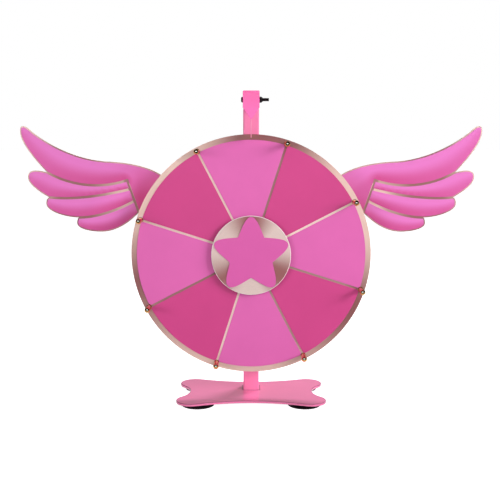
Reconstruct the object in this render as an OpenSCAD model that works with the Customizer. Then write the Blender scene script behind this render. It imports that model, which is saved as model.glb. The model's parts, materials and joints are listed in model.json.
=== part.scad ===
// Tabletop prize wheel with wings, in millimetres.
// The origin is on the table, under the middle of the base plate. +Z is up and the wheel faces -Y.

/* [Base] */
// Width of the base plate across its lobes
plate_w = 240; // [220:1:270]
// Depth of the base plate across its lobes
plate_d = 146; // [136:1:170]
// Width of the base plate between the side notches
neck_w = 201; // [185:1:210]
// Depth of the base plate at its middle
waist_d = 110; // [100:1:120]
// Radius of each lobe
lobe_r = 24.5; // [20:0.5:30]
// Thickness of the base plate
plate_t = 4; // [3:0.5:6]
// Diameter of a suction cup
cup_d = 52; // [40:1:52]
// Height of a suction cup under load
cup_h = 5; // [5:0.5:9]
// Distance of a cup's middle from the plate's left or right end
cup_inset_x = 35; // [26:0.5:45]
// Distance of a cup's middle from the plate's front or back end
cup_inset_y = 27; // [26:0.5:33]

/* [Post] */
// Outside width of the square tube of the post and the pointer arm
tube_w = 25.4; // [24:0.2:30]
// Wall of the square tube
tube_wall = 1.5; // [1:0.1:2]
// Outside corner radius of the square tube
tube_r = 2.5; // [2.2:0.1:4]
// Distance of the post's middle behind the middle of the base plate
post_y = 18.7; // [14:0.1:24]

/* [Wheel] */
// Diameter of the wheel
wheel_d = 380; // [340:1:420]
// Thickness of the wheel's board
disc_t = 5; // [4:0.5:8]
// Room between the base plate and the lowest point of the wheel
wheel_clear = 41; // [25:1:80]
// Room between the back of the board and the post
wheel_gap = 31; // [29:0.5:40]
// Width of the bare rim outside the coloured panels
rim_w = 8.7; // [7:0.1:14]
// Width of the bare line between two coloured panels
spoke_w = 3.5; // [2:0.1:8]
// Thickness of a coloured panel
panel_t = 0.6; // [0.4:0.1:1.5]
// Angle of the first peg from the top, clockwise from the front
first_angle = 17.7; // [12:0.1:24]

/* [Pegs] */
// Diameter of a peg's stem
peg_d = 6.8; // [5:0.1:9]
// Diameter of the ball at a peg's tip
ball_end_d = 9; // [7:0.1:12]
// Length of a peg in front of the board
peg_len = 30; // [25:0.5:40]
// Distance of the pegs' circle inside the rim
peg_inset = 6.6; // [5.5:0.1:12]
// Diameter of a peg's threaded stud
peg_stud_d = 4; // [3:0.5:5]

/* [Hub] */
// Diameter of the hub cover
hub_d = 126; // [115:1:150]
// Thickness of the hub cover
hub_t = 2; // [1:0.5:4]
// Outside diameter of the ring that carries the hub cover
hub_ring_d = 104; // [102:1:110]
// Inside diameter of the ring that carries the hub cover
hub_ring_bore = 64; // [50:1:70]
// Thickness of the ring that carries the hub cover
hub_ring_t = 6; // [4:0.5:10]
// Reach of the star's tips from the hub's middle
star_r = 61.2; // [50:0.2:62]
// Distance of the star's valleys from the hub's middle
star_valley_r = 35.5; // [28:0.5:40]
// Thickness of the star
star_t = 1; // [0.6:0.1:2]
// Diameter of the hub flange behind the board
flange_d = 96; // [92:1:120]
// Thickness of the hub flange
flange_t = 4; // [3:0.5:6]
// Outside diameter of the bearing barrel on the flange
barrel_d = 36; // [34:0.5:44]
// Diameter of the circle of the hub screws
hub_screw_pcd = 84; // [80:1:88]

/* [Axle] */
// Diameter of the axle bolt
axle_d = 10; // [9:0.5:11]
// Outside diameter of a ball bearing
bearing_d = 26; // [25:0.5:28]
// Width of a ball bearing
bearing_w = 8; // [7:0.5:9]
// Wall of a bearing race
race_wall = 2.4; // [2.2:0.1:2.6]
// Diameter of a bearing ball
ball_d = 4.5; // [4.2:0.1:4.8]
// Length of the sleeve between the post and the rear bearing
sleeve_l = 3; // [2:0.5:4]

/* [Pointer] */
// Room between the tip of the pointer and the top of the wheel
pointer_clear = 21; // [16:0.5:40]
// Drop of the pointer's tip under the arm
pointer_drop = 18.6; // [12:0.1:30]
// Thickness of the pointer plate
pointer_t = 2; // [1.5:0.5:4]
// Room between the peg tips and the pointer plate
pointer_gap = 4; // [2:0.5:15]
// Thickness of the flapper blade
blade_t = 1.5; // [1:0.1:2]
// Width of the flapper blade
blade_w = 18; // [12:0.5:20]
// How far the flapper reaches in under the tops of the pegs
flapper_bite = 3.4; // [2:0.1:4]
// Swing of the flapper to each side, in degrees
flapper_swing = 28; // [26:1:32]
// Length of the flapper bolt under its head
flapper_bolt_l = 40; // [36:1:50]

/* [Wings] */
// Reach of a wing's tip from the middle of the wheel
wing_reach = 368.5; // [330:0.5:420]
// Height of a wing from its lowest feather to its tip
wing_h = 169; // [155:1:190]
// Height of the lowest feather above the axle
wing_low = 34; // [26:1:44]
// Distance of a wing's inner end from the middle of the wheel
wing_root = 24; // [20:0.5:28]
// Thickness of a wing board
wing_t = 3; // [2:0.5:5]
// Width of the bare edge round each feather
feather_edge = 2; // [1:0.1:2.5]
// Thickness of a feather panel
feather_t = 0.6; // [0.4:0.1:1.5]
// Length of the crossbar that carries the wings
crossbar_l = 190; // [185:1:220]
// Height of the crossbar
crossbar_h = 25; // [23:0.5:27]
// Thickness of the crossbar
crossbar_t = 3; // [2:0.5:5]

/* [Hidden] */
$fn = 64;

// Colours as the photograph shows them
paint_pink = "#f98ab5";
light_pink = "#e172b6";
dark_pink = "#d14d8a";
champagne = "#c9a797";
gold = "#c8952f";
rubber_black = "#141414";
bolt_black = "#1d1b1d";
steel = "#b9babd";
clear_plastic = "#efe6ea";

// Clearances on the radius or on one side: a running fit, a slip fit and a fit with room
running = 0.08;
slip = 0.1;
room = 0.3;
// How far a cut runs past a face, or one bar of a piece into the next
overlap = 1;

// Small standard hardware
m4_head_d = 8;
m4_head_h = 2.2;
m4_d = 4;
m4_nut_af = 7;
m4_nut_h = 3.2;
m5_d = 5;
m5_head_d = 8.6;
m5_head_h = 2.8;
m5_nut_af = 8;
m5_nut_h = 4;
m5_lock_nut_h = 5;
m6_d = 6;
m6_head_d = 10.5;
m6_head_h = 3.3;
// Parts on the axle bolt, for a given thread
axle_af = axle_d + 7;
axle_head_h = 6.4;
axle_nut_h = 8;
axle_washer_t = 1.5;
axle_washer_d = axle_d + 5;
axle_sleeve_d = axle_d + 5;
race_spacer_d = axle_d + 4;
crush_tube_d = axle_d + 6;
thread_end = 1;

// Heights
plate_top = cup_h + plate_t;
axle_z = plate_top + wheel_clear + wheel_d / 2;
post_top = axle_z + wheel_d / 2 + pointer_clear + pointer_drop;
arm_top = post_top + tube_w;

// Depths, from the post to the front
post_front = post_y - tube_w / 2;
post_back = post_y + tube_w / 2;
disc_back = post_front - wheel_gap;
disc_face = disc_back - disc_t;
peg_tip = disc_face - peg_len;
pointer_back = peg_tip - pointer_gap;
tube_bore = tube_w - 2 * tube_wall;
tube_bore_r = tube_r - tube_wall;

// Base plate: arcs round the lobes that run into arcs of the edges
lobe_x = plate_w / 2 - lobe_r;
lobe_y = plate_d / 2 - lobe_r;
function edge_arc(across, along, apex) =
    (along * along + (across - apex) * (across - apex) - lobe_r * lobe_r)
    / (2 * (lobe_r + across - apex));
notch_r = edge_arc(lobe_x, lobe_y, neck_w / 2);
waist_r = edge_arc(lobe_y, lobe_x, waist_d / 2);
notch_x = neck_w / 2 + notch_r;
waist_y = waist_d / 2 + waist_r;
// Angles on a lobe where its arc runs into the notch's and the waist's
lobe_from = atan2(-lobe_y, notch_x - lobe_x);
lobe_to = atan2(waist_y - lobe_y, -lobe_x);

// Suction cups
cup_lip = 1.2;
cup_cavity = 1.2;
cup_seat_w = 5;
cup_seat_d = cup_d - 2 * cup_seat_w;
cup_neck_d = 18;
cup_neck_z = cup_h * 0.8;
cup_shoulder_d = cup_neck_d + 6;
cup_shoulder_z = cup_h * 0.6;
cup_stud_d = 6;
cup_stud_in_cup = 2.5;
cup_stud_in_plate = 2.5;
cup_x = plate_w / 2 - cup_inset_x;
cup_y = plate_d / 2 - cup_inset_y;

// Fasteners of the post's foot
foot_h = 14;
foot_bolt_dy = 12;
foot_bolt_in = 10;

// Pointer arm
spigot_in_post = 32;
spigot_short = 7;
arm_screw_drops = [10, 22];
arm_screw_in = 10;
cap_t = 2;
cap_plug = 4;
corner_round = 1.6;

// Flapper
flapper_y = disc_face - peg_len / 2;
flapper_bolt_z = post_top + tube_w / 2;
bead_d = 4;
bead_lift = 0.5;
bead_z = post_top + bead_lift;
holder_w = 10;
holder_past_blade = 1;
holder_d = blade_w + 2 * holder_past_blade;
holder_under_bead = 3.5;
holder_over_bolt = 7;
flapper_sleeve_d = m5_d + 4;
peg_r = wheel_d / 2 - peg_inset;
flapper_tip_z = axle_z + peg_r + ball_end_d / 2 - flapper_bite;

// Wheel face
sectors = 8;
sector_step = 360 / sectors;
panel_outer_r = wheel_d / 2 - rim_w;
panel_inner_r = hub_ring_d / 2 + room;
peg_seat_r = max(peg_d, ball_end_d) / 2 + room;
nut_room = 2.5;
disc_bore_d = axle_af / cos(30) + 2 * nut_room;
stud_end = 1;

// Bearing stack, from the post to the front
rear_bearing_y = post_front - sleeve_l - bearing_w;
nut_recess = 1.5;
nut_front = disc_face + nut_recess;
front_bearing_y = nut_front + axle_nut_h + axle_washer_t;
race_pitch_r = (axle_d + bearing_d) / 4;
groove_r = ball_d / 2 + slip;
balls = 7;
race_lip = 2;

// Wing outline, in percent of the way from the root to the tip and of the height
function wing_x(x) = wing_root + x / 100 * (wing_reach - wing_root);
function wing_z(z) = wing_low + z / 100 * wing_h;
// Feathers' notches from the top down, and where the dividing lines meet the root line
notch_1 = [88, 56.5];
notch_2 = [87.4, 32.8];
notch_3 = [73.7, 13.6];
root_top = [50.8, 49.1];
root_low = [45.6, 18.3];
root_23 = [49.3, 40.8];
root_34 = [47.5, 29.6];
// Where the straight tab at the root ends, above and below, and where the feather panels start
tab_top = [22, 46.2];
tab_bottom = [22, 29.6];
feather_start = [24.4, 0];
tab_mid_z = axle_z + wing_z((tab_top[1] + tab_bottom[1]) / 2);
wing_screw_xs = [40, 80];
crossbar_bolt_dz = 14;
wing_front = post_front - crossbar_t - wing_t;

// Curves

function bezier(a, b, c, d, steps = 12) =
    [for (i = [0:steps])
        let (t = i / steps, s = 1 - t)
        s * s * s * a + 3 * s * s * t * b + 3 * s * t * t * c + t * t * t * d];

// An arc without its last point, where the next curve starts
function arc(centre, r, from, to, steps = 16) =
    [for (i = [0:steps - 1])
        let (angle = from + (to - from) * i / steps)
        centre + r * [cos(angle), sin(angle)]];

function reversed(points) = [for (i = [len(points) - 1:-1:0]) points[i]];

function on_wing(points) = [for (p = points) [wing_x(p[0]), wing_z(p[1])]];

plate_outline = concat(
    arc([notch_x, 0], notch_r, 180 - lobe_from, 180 + lobe_from),
    arc([lobe_x, lobe_y], lobe_r, lobe_from, lobe_to),
    arc([0, waist_y], waist_r, lobe_to - 180, -lobe_to),
    arc([-lobe_x, lobe_y], lobe_r, 180 - lobe_to, 180 - lobe_from),
    arc([-notch_x, 0], notch_r, -lobe_from, lobe_from),
    arc([-lobe_x, -lobe_y], lobe_r, 180 + lobe_from, 180 + lobe_to),
    arc([0, -waist_y], waist_r, lobe_to, 180 - lobe_to),
    arc([lobe_x, -lobe_y], lobe_r, -lobe_to, -lobe_from)
);

wing_top = concat(
    bezier(tab_top, [27.9, tab_top[1]], [31.3, 50.3], [35.1, 54.4]),
    bezier([35.1, 54.4], [41.8, 63.3], [52, 66.3], [61.2, 66.9]),
    bezier([61.2, 66.9], [73.7, 68.9], [85.9, 80.5], [94.6, 94.7]),
    bezier([94.6, 94.7], [96.7, 99.4], [100, 103.6], [100, 95.3]),
    bezier([100, 95.3], [100, 84], [93.2, 67.8], notch_1)
);
second_tip = concat(
    bezier(notch_1, [90.6, 57.7], [96.7, 61.5], [97, 52.7]),
    bezier([97, 52.7], [97.2, 45], [91.7, 37.9], notch_2)
);
third_tip = concat(
    bezier(notch_2, [88.5, 32], [88.8, 29.6], [88.8, 26.6]),
    bezier([88.8, 26.6], [88.8, 20.1], [81, 13.9], notch_3)
);
fourth_tip = concat(
    bezier(notch_3, [74.3, 13], [74.6, 10.7], [74.6, 8.3]),
    bezier([74.6, 8.3], [74.6, 3], [69.1, 0], [63, 0]),
    bezier([63, 0], [56.6, 0], [50.5, 7.7], root_low)
);
hidden_low = bezier(root_low, [40.9, 27.2], [33.7, tab_bottom[1]], tab_bottom);
line_12 = bezier(notch_1, [76.1, 42.6], [62.1, 41.1], root_top);
line_23 = bezier(notch_2, [77.2, 30.5], [62.7, 33.7], root_23);
line_34 = bezier(notch_3, [65, 13.6], [55.2, 20.7], root_34);

wing_outline = concat(
    [[0, tab_top[1]]], wing_top, second_tip, third_tip, fourth_tip, hidden_low, [[0, tab_bottom[1]]]
);
feather_outlines = [
    concat(wing_top, line_12, [root_low], hidden_low),
    concat(second_tip, line_23, reversed(line_12)),
    concat(third_tip, line_34, [root_23], reversed(line_23)),
    concat(fourth_tip, [root_34], reversed(line_34))
];

// One side of a star's arm, from its valley to its tip, with its handles in parts of the reach
star_arms = 5;
star_step = 360 / star_arms;
star_valley = star_valley_r * [sin(star_step / 2), cos(star_step / 2)];
star_flank = star_r * [0.27, 0.61];
star_tip = star_r * [0.16, 1];
star_side = bezier(star_valley, star_flank, star_tip, [0, star_r]);

// Shared shapes

// Extrudes an outline of X and Z along Y, from its front face back
module slab(front, thickness) {
    translate([0, front + thickness, 0])
        rotate([90, 0, 0])
            linear_extrude(thickness)
                children();
}

// A round bar along Y
module bar_y(d, front, back) {
    translate([0, back, 0])
        rotate([90, 0, 0])
            cylinder(d = d, h = back - front);
}

// A round tube along Y
module tube_y(d, bore, front, back) {
    difference() {
        bar_y(d, front, back);
        bar_y(bore, front - overlap, back + overlap);
    }
}

// A round bar along X
module bar_x(d, left, right) {
    translate([left, 0, 0])
        rotate([0, 90, 0])
            cylinder(d = d, h = right - left);
}

// A six-sided bar along Y, across flats
module hex_y(af, front, back) {
    translate([0, back, 0])
        rotate([90, 0, 0])
            rotate(30)
                cylinder(d = af / cos(30), h = back - front, $fn = 6);
}

module round_square(side, r) {
    square([side - 2 * r, side], center = true);
    square([side, side - 2 * r], center = true);
    for (x = [-1, 1], y = [-1, 1])
        translate([x, y] * (side / 2 - r))
            circle(r);
}

module tube_outline() {
    difference() {
        round_square(tube_w, tube_r);
        round_square(tube_bore, tube_bore_r);
    }
}

// A block that slips into the tube
module tube_plug(h) {
    linear_extrude(h)
        round_square(tube_bore - 2 * slip, tube_bore_r);
}

module at_axle() {
    translate([0, 0, axle_z])
        children();
}

// Places a child on the wheel, at an angle clockwise from the top and a distance from the axle
module on_wheel(angle, r) {
    translate([r * sin(angle), 0, axle_z + r * cos(angle)])
        children();
}

function peg_angle(i) = first_angle + (i - 1) * sector_step;

// Base

module at_cups() {
    for (x = [-1, 1], y = [-1, 1])
        translate([x * cup_x, y * cup_y, 0])
            children();
}

module at_foot_bolts() {
    for (y = [-1, 1])
        translate([0, post_y + y * foot_bolt_dy / 2, 0])
            children();
}

module base_plate() {
    color(paint_pink)
        difference() {
            translate([0, 0, cup_h])
                linear_extrude(plate_t)
                    polygon(plate_outline);
            at_cups()
                translate([0, 0, cup_h - overlap])
                    cylinder(d = cup_stud_d + 2 * slip, h = cup_stud_in_plate + overlap);
            at_foot_bolts()
                translate([0, 0, cup_h - overlap])
                    cylinder(d = m6_d + 2 * room, h = plate_t + 2 * overlap);
        }
}

module suction_cup(x, y) {
    color(rubber_black)
        translate([x * cup_x, y * cup_y, 0])
            difference() {
                rotate_extrude()
                    polygon([
                        [0, cup_cavity], [cup_seat_d / 2, 0], [cup_d / 2, 0], [cup_d / 2, cup_lip],
                        [cup_shoulder_d / 2, cup_shoulder_z], [cup_neck_d / 2, cup_neck_z],
                        [cup_neck_d / 2, cup_h], [0, cup_h]
                    ]);
                translate([0, 0, cup_h - cup_stud_in_cup])
                    cylinder(d = cup_stud_d + 2 * slip, h = cup_stud_in_cup + overlap);
            }
}

module cup_studs() {
    color(steel)
        at_cups()
            translate([0, 0, cup_h - cup_stud_in_cup])
                cylinder(d = cup_stud_d, h = cup_stud_in_cup + cup_stud_in_plate);
}

// Post

module post_tube() {
    color(paint_pink)
        difference() {
            translate([0, post_y, plate_top])
                linear_extrude(post_top - plate_top)
                    tube_outline();
            at_axle()
                bar_y(axle_d + 2 * room, post_front - overlap, post_back + overlap);
            at_crossbar_bolts()
                bar_y(m5_d + 2 * room, post_front - overlap, post_back + overlap);
            at_arm_screws()
                bar_y(m5_d + 2 * room, post_y, post_back + overlap);
        }
}

module post_foot() {
    color(steel)
        difference() {
            translate([0, post_y, plate_top])
                tube_plug(foot_h);
            at_foot_bolts()
                translate([0, 0, plate_top - overlap])
                    cylinder(d = m6_d + 2 * slip, h = foot_bolt_in + 2 * overlap);
        }
}

module post_bolts() {
    color(bolt_black)
        at_foot_bolts() {
            translate([0, 0, cup_h - m6_head_h])
                cylinder(d = m6_head_d, h = m6_head_h);
            translate([0, 0, cup_h - m6_head_h])
                cylinder(d = m6_d, h = m6_head_h + plate_t + foot_bolt_in);
        }
}

module at_arm_screws() {
    for (drop = arm_screw_drops)
        translate([0, 0, post_top - drop])
            children();
}

module arm_spigot() {
    color(steel)
        difference() {
            union() {
                translate([0, post_y, post_top - spigot_in_post])
                    tube_plug(spigot_in_post);
                intersection() {
                    translate([0, post_y, post_top])
                        tube_plug(tube_w - tube_wall - tube_bore_r);
                    translate([-tube_w, post_front, post_top - overlap])
                        cube([2 * tube_w, tube_w - tube_wall - spigot_short, tube_w]);
                }
            }
            at_arm_screws()
                bar_y(m5_d + 2 * slip, post_back - arm_screw_in - tube_wall - overlap, post_back);
        }
}

module arm_screws() {
    color(bolt_black)
        at_arm_screws() {
            bar_y(m5_head_d, post_back, post_back + m5_head_h);
            bar_y(m5_d, post_back - arm_screw_in - tube_wall, post_back + m5_head_h);
        }
}

module pointer_arm() {
    color(paint_pink)
        difference() {
            translate([0, 0, post_top + tube_w / 2])
                slab(pointer_back, post_back - pointer_back)
                    tube_outline();
            translate([-tube_bore / 2, post_y - tube_bore / 2, post_top - overlap])
                cube([tube_bore, tube_bore, tube_wall + overlap + tube_bore_r]);
            translate([-holder_w / 2 - room, flapper_y - holder_d / 2 - room, post_top - overlap])
                cube([holder_w + 2 * room, holder_d + 2 * room, tube_wall + 2 * overlap]);
            translate([0, flapper_y, flapper_bolt_z])
                bar_x(m5_d + 2 * slip, -tube_w, tube_w);
        }
}

module arm_cap() {
    color(rubber_black)
        translate([0, 0, post_top + tube_w / 2]) {
            slab(post_back, cap_t)
                round_square(tube_w, tube_r);
            slab(post_back - cap_plug, cap_plug)
                square(tube_bore - 2 * slip - 2 * tube_bore_r, center = true);
        }
}

module pointer_plate() {
    color(paint_pink)
        slab(pointer_back - pointer_t, pointer_t)
            offset(r = corner_round)
                offset(delta = -corner_round)
                    polygon([
                        [-tube_w / 2, arm_top], [tube_w / 2, arm_top], [tube_w / 2, post_top],
                        [0, post_top - pointer_drop], [-tube_w / 2, post_top]
                    ]);
}

// Flapper

// Half the width that the swinging blade needs, this far under its bead
function blade_sweep(below) = below * tan(flapper_swing) + blade_t / 2 / cos(flapper_swing) + room;

module flapper_holder() {
    slot_h = holder_under_bead + overlap;
    color(bolt_black)
        difference() {
            translate([-holder_w / 2, flapper_y - holder_d / 2, bead_z - holder_under_bead])
                cube([holder_w, holder_d, flapper_bolt_z + holder_over_bolt - bead_z + holder_under_bead]);
            translate([0, flapper_y, flapper_bolt_z])
                bar_x(m5_d + 2 * slip, -holder_w, holder_w);
            translate([0, 0, bead_z]) {
                bar_y(bead_d + 2 * running, flapper_y - holder_d, flapper_y + holder_d);
                slab(flapper_y - holder_d, 2 * holder_d)
                    polygon([
                        [-blade_sweep(0), 0], [blade_sweep(0), 0],
                        [blade_sweep(slot_h), -slot_h],
                        [-blade_sweep(slot_h), -slot_h]
                    ]);
            }
        }
}

module flapper() {
    color(clear_plastic) {
        translate([0, 0, bead_z])
            bar_y(bead_d, flapper_y - blade_w / 2, flapper_y + blade_w / 2);
        translate([-blade_t / 2, flapper_y - blade_w / 2, flapper_tip_z])
            cube([blade_t, blade_w, bead_z - flapper_tip_z]);
    }
}

module flapper_bolt() {
    color(bolt_black)
        translate([0, flapper_y, flapper_bolt_z]) {
            bar_x(m5_head_d, -tube_w / 2 - m5_head_h, -tube_w / 2);
            bar_x(m5_d, -tube_w / 2 - m5_head_h, flapper_bolt_l - tube_w / 2);
        }
}

module flapper_nut() {
    color(bolt_black)
        translate([tube_w / 2, flapper_y, flapper_bolt_z])
            difference() {
                rotate([0, 90, 0])
                    cylinder(d = m5_nut_af / cos(30), h = m5_lock_nut_h, $fn = 6);
                bar_x(m5_d + 2 * slip, -overlap, m5_lock_nut_h + overlap);
            }
}

module flapper_sleeves() {
    sleeve = (tube_bore - holder_w) / 2;
    color(steel)
        for (x = [-tube_bore / 2, holder_w / 2])
            translate([x, flapper_y, flapper_bolt_z])
                difference() {
                    bar_x(flapper_sleeve_d, 0, sleeve);
                    bar_x(m5_d + 2 * slip, -overlap, sleeve + overlap);
                }
}

// Wings

module at_crossbar_bolts() {
    for (z = [-1, 1])
        translate([0, 0, tab_mid_z + z * crossbar_bolt_dz / 2])
            children();
}

module at_wing_screws(sides = [-1, 1]) {
    for (side = sides, x = wing_screw_xs)
        translate([side * x, 0, tab_mid_z])
            children();
}

module wing_crossbar() {
    color(paint_pink)
        difference() {
            translate([-crossbar_l / 2, post_front - crossbar_t, tab_mid_z - crossbar_h / 2])
                cube([crossbar_l, crossbar_t, crossbar_h]);
            at_wing_screws()
                bar_y(m5_d + 2 * slip, post_front - crossbar_t - overlap, post_front + overlap);
            at_crossbar_bolts()
                bar_y(m5_d + 2 * slip, post_front - crossbar_t - overlap, post_front + overlap);
        }
}

module crossbar_bolts() {
    front = post_front - crossbar_t;
    color(bolt_black)
        at_crossbar_bolts() {
            bar_y(m5_head_d, front - m5_head_h, front);
            bar_y(m5_d, front - m5_head_h, post_back + m5_nut_h + thread_end);
        }
}

module wing(side) {
    color(champagne)
        difference() {
            at_axle()
                slab(wing_front, wing_t)
                    mirror([side < 0 ? 1 : 0, 0])
                        polygon(on_wing(wing_outline));
            at_wing_screws([side])
                bar_y(m5_d + 2 * slip, wing_front - overlap, wing_front + wing_t + overlap);
        }
}

module feathers(side) {
    color(light_pink)
        at_axle()
            slab(wing_front - feather_t, feather_t)
                mirror([side < 0 ? 1 : 0, 0])
                    for (outline = feather_outlines)
                        intersection() {
                            offset(delta = -feather_edge)
                                polygon(on_wing(outline));
                            translate([wing_x(feather_start[0]), 0])
                                square([wing_reach, wing_low + wing_h]);
                        }
}

module wing_screws() {
    color(bolt_black)
        at_wing_screws() {
            bar_y(m5_head_d, wing_front - m5_head_h, wing_front);
            bar_y(m5_d, wing_front - m5_head_h, post_front + m5_nut_h + thread_end);
        }
}

module m5_nut(front) {
    difference() {
        hex_y(m5_nut_af, front, front + m5_nut_h);
        bar_y(m5_d + 2 * slip, front - overlap, front + m5_nut_h + overlap);
    }
}

module m5_nuts() {
    color(steel) {
        at_wing_screws()
            m5_nut(post_front);
        at_crossbar_bolts()
            m5_nut(post_back);
    }
}

// Axle and bearings

module axle_bolt() {
    color(steel)
        at_axle() {
            hex_y(axle_af, post_back, post_back + axle_head_h);
            bar_y(axle_d, nut_front - nut_recess / 2, post_back + axle_head_h);
        }
}

module crush_tube() {
    color(steel)
        at_axle()
            tube_y(crush_tube_d, axle_d + 2 * slip, post_front + tube_wall, post_back - tube_wall);
}

module axle_sleeve() {
    color(steel)
        at_axle()
            tube_y(axle_sleeve_d, axle_d + 2 * slip, post_front - sleeve_l, post_front);
}

module race_spacer() {
    color(steel)
        at_axle()
            tube_y(race_spacer_d, axle_d + 2 * slip, front_bearing_y + bearing_w, rear_bearing_y);
}

module axle_washer() {
    color(steel)
        at_axle()
            tube_y(axle_washer_d, axle_d + 2 * slip, front_bearing_y - axle_washer_t, front_bearing_y);
}

module axle_nut() {
    color(steel)
        at_axle()
            difference() {
                hex_y(axle_af, nut_front, nut_front + axle_nut_h);
                bar_y(axle_d + 2 * slip, nut_front - overlap, nut_front + axle_nut_h + overlap);
            }
}

module at_bearings() {
    for (y = [front_bearing_y, rear_bearing_y])
        translate([0, y, axle_z])
            children();
}

// One ring of a bearing, with the groove that its balls run in
module race(inner_r, outer_r) {
    translate([0, bearing_w, 0])
        rotate([90, 0, 0])
            rotate_extrude()
                difference() {
                    translate([inner_r, 0])
                        square([outer_r - inner_r, bearing_w]);
                    translate([race_pitch_r, bearing_w / 2])
                        circle(groove_r);
                }
}

module inner_races() {
    color(steel)
        at_bearings()
            race(axle_d / 2 + slip, axle_d / 2 + slip + race_wall);
}

module outer_races() {
    color(steel)
        at_bearings()
            race(bearing_d / 2 - slip - race_wall, bearing_d / 2 - slip);
}

module bearing_balls() {
    color(steel)
        at_bearings()
            for (i = [1:balls])
                rotate([0, i * 360 / balls, 0])
                    translate([race_pitch_r, bearing_w / 2, 0])
                        sphere(d = ball_d);
}

// Wheel

module at_pegs() {
    for (i = [1:sectors])
        on_wheel(peg_angle(i), peg_r)
            children();
}

module at_hub_screws() {
    for (angle = [45:90:315])
        on_wheel(angle, hub_screw_pcd / 2)
            children();
}

// A countersunk screw through the board into the flange, grown by a clearance
module hub_screw(grow) {
    translate([0, disc_face + m4_head_h, 0])
        rotate([90, 0, 0])
            cylinder(d1 = m4_d + 2 * grow, d2 = m4_head_d + 2 * grow, h = m4_head_h);
    bar_y(m4_d + 2 * grow, disc_face, disc_back + flange_t);
}

module wheel_disc() {
    color(champagne)
        difference() {
            at_axle()
                tube_y(wheel_d, disc_bore_d, disc_face, disc_back);
            at_pegs()
                bar_y(peg_stud_d + 2 * slip, disc_face - overlap, disc_back + overlap);
            at_hub_screws()
                hub_screw(slip);
        }
}

// A coloured panel between two bare lines, notched round its pegs
module sector(i) {
    middle = peg_angle(i) + sector_step / 2;
    half = sector_step / 2;
    reach = wheel_d;
    color(i % 2 == 1 ? dark_pink : light_pink)
        difference() {
            at_axle()
                slab(disc_face - panel_t, panel_t)
                    intersection() {
                        difference() {
                            circle(panel_outer_r);
                            circle(panel_inner_r);
                        }
                        rotate(-middle)
                            translate([0, spoke_w / 2 / sin(half)])
                                polygon([
                                    [0, 0], [-reach * tan(half), reach], [reach * tan(half), reach]
                                ]);
                    }
            at_pegs()
                bar_y(2 * peg_seat_r, disc_face - panel_t - overlap, disc_back);
        }
}

module peg(i) {
    stem_front = peg_tip + ball_end_d / 2;
    color(gold)
        on_wheel(peg_angle(i), peg_r) {
            bar_y(peg_d, stem_front, disc_face);
            translate([0, stem_front, 0])
                sphere(d = ball_end_d);
            bar_y(peg_stud_d, disc_face - overlap, disc_back + m4_nut_h + stud_end);
        }
}

module peg_nuts() {
    color(steel)
        at_pegs()
            difference() {
                hex_y(m4_nut_af - m4_d + peg_stud_d, disc_back, disc_back + m4_nut_h);
                bar_y(peg_stud_d + 2 * slip, disc_back - overlap, disc_back + m4_nut_h + overlap);
            }
}

module hub_flange() {
    barrel_back = post_front - sleeve_l;
    color(steel)
        difference() {
            at_axle()
                union() {
                    bar_y(flange_d, disc_back, disc_back + flange_t);
                    bar_y(barrel_d, disc_back, barrel_back);
                }
            at_axle() {
                bar_y(bearing_d, disc_back - overlap, front_bearing_y + bearing_w);
                bar_y(bearing_d, rear_bearing_y, barrel_back + overlap);
                bar_y(bearing_d - 2 * race_lip, disc_back, barrel_back);
            }
            at_hub_screws()
                hub_screw(slip);
        }
}

module hub_screws() {
    color(steel)
        at_hub_screws()
            hub_screw(0);
}

module hub_spacer() {
    color(rubber_black)
        at_axle()
            tube_y(hub_ring_d, hub_ring_bore, disc_face - hub_ring_t, disc_face);
}

module hub_cover() {
    color(champagne)
        at_axle()
            bar_y(hub_d, disc_face - hub_ring_t - hub_t, disc_face - hub_ring_t);
}

module star_outline() {
    for (arm = [1:star_arms])
        rotate(arm * star_step)
            polygon(concat(
                [[0, 0]], star_side, reversed([for (p = star_side) [-p[0], p[1]]])
            ));
}

module hub_star() {
    color(light_pink)
        at_axle()
            slab(disc_face - hub_ring_t - hub_t - star_t, star_t)
                star_outline();
}

base_plate();
suction_cup(-1, -1);  // suction_cup_front_left
suction_cup(1, -1);  // suction_cup_front_right
suction_cup(-1, 1);  // suction_cup_rear_left
suction_cup(1, 1);  // suction_cup_rear_right
cup_studs();
post_tube();
post_foot();
post_bolts();
pointer_arm();
pointer_plate();
arm_spigot();
arm_cap();
arm_screws();
flapper_holder();
flapper_bolt();
flapper_nut();
flapper_sleeves();
flapper();
wing_crossbar();
crossbar_bolts();
wing(-1);  // left_wing
wing(1);  // right_wing
feathers(-1);  // left_feathers
feathers(1);  // right_feathers
wing_screws();
m5_nuts();
axle_bolt();
crush_tube();
axle_sleeve();
inner_races();
race_spacer();
axle_washer();
axle_nut();
bearing_balls();
outer_races();
wheel_disc();
sector(1);  // sector_1
sector(2);  // sector_2
sector(3);  // sector_3
sector(4);  // sector_4
sector(5);  // sector_5
sector(6);  // sector_6
sector(7);  // sector_7
sector(8);  // sector_8
peg(1);  // peg_1
peg(2);  // peg_2
peg(3);  // peg_3
peg(4);  // peg_4
peg(5);  // peg_5
peg(6);  // peg_6
peg(7);  // peg_7
peg(8);  // peg_8
peg_nuts();
hub_flange();
hub_screws();
hub_spacer();
hub_cover();
hub_star();
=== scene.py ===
import json
import math

import bmesh
import bpy
import numpy as np
from mathutils import Color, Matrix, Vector
from mathutils.geometry import delaunay_2d_cdt

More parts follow.
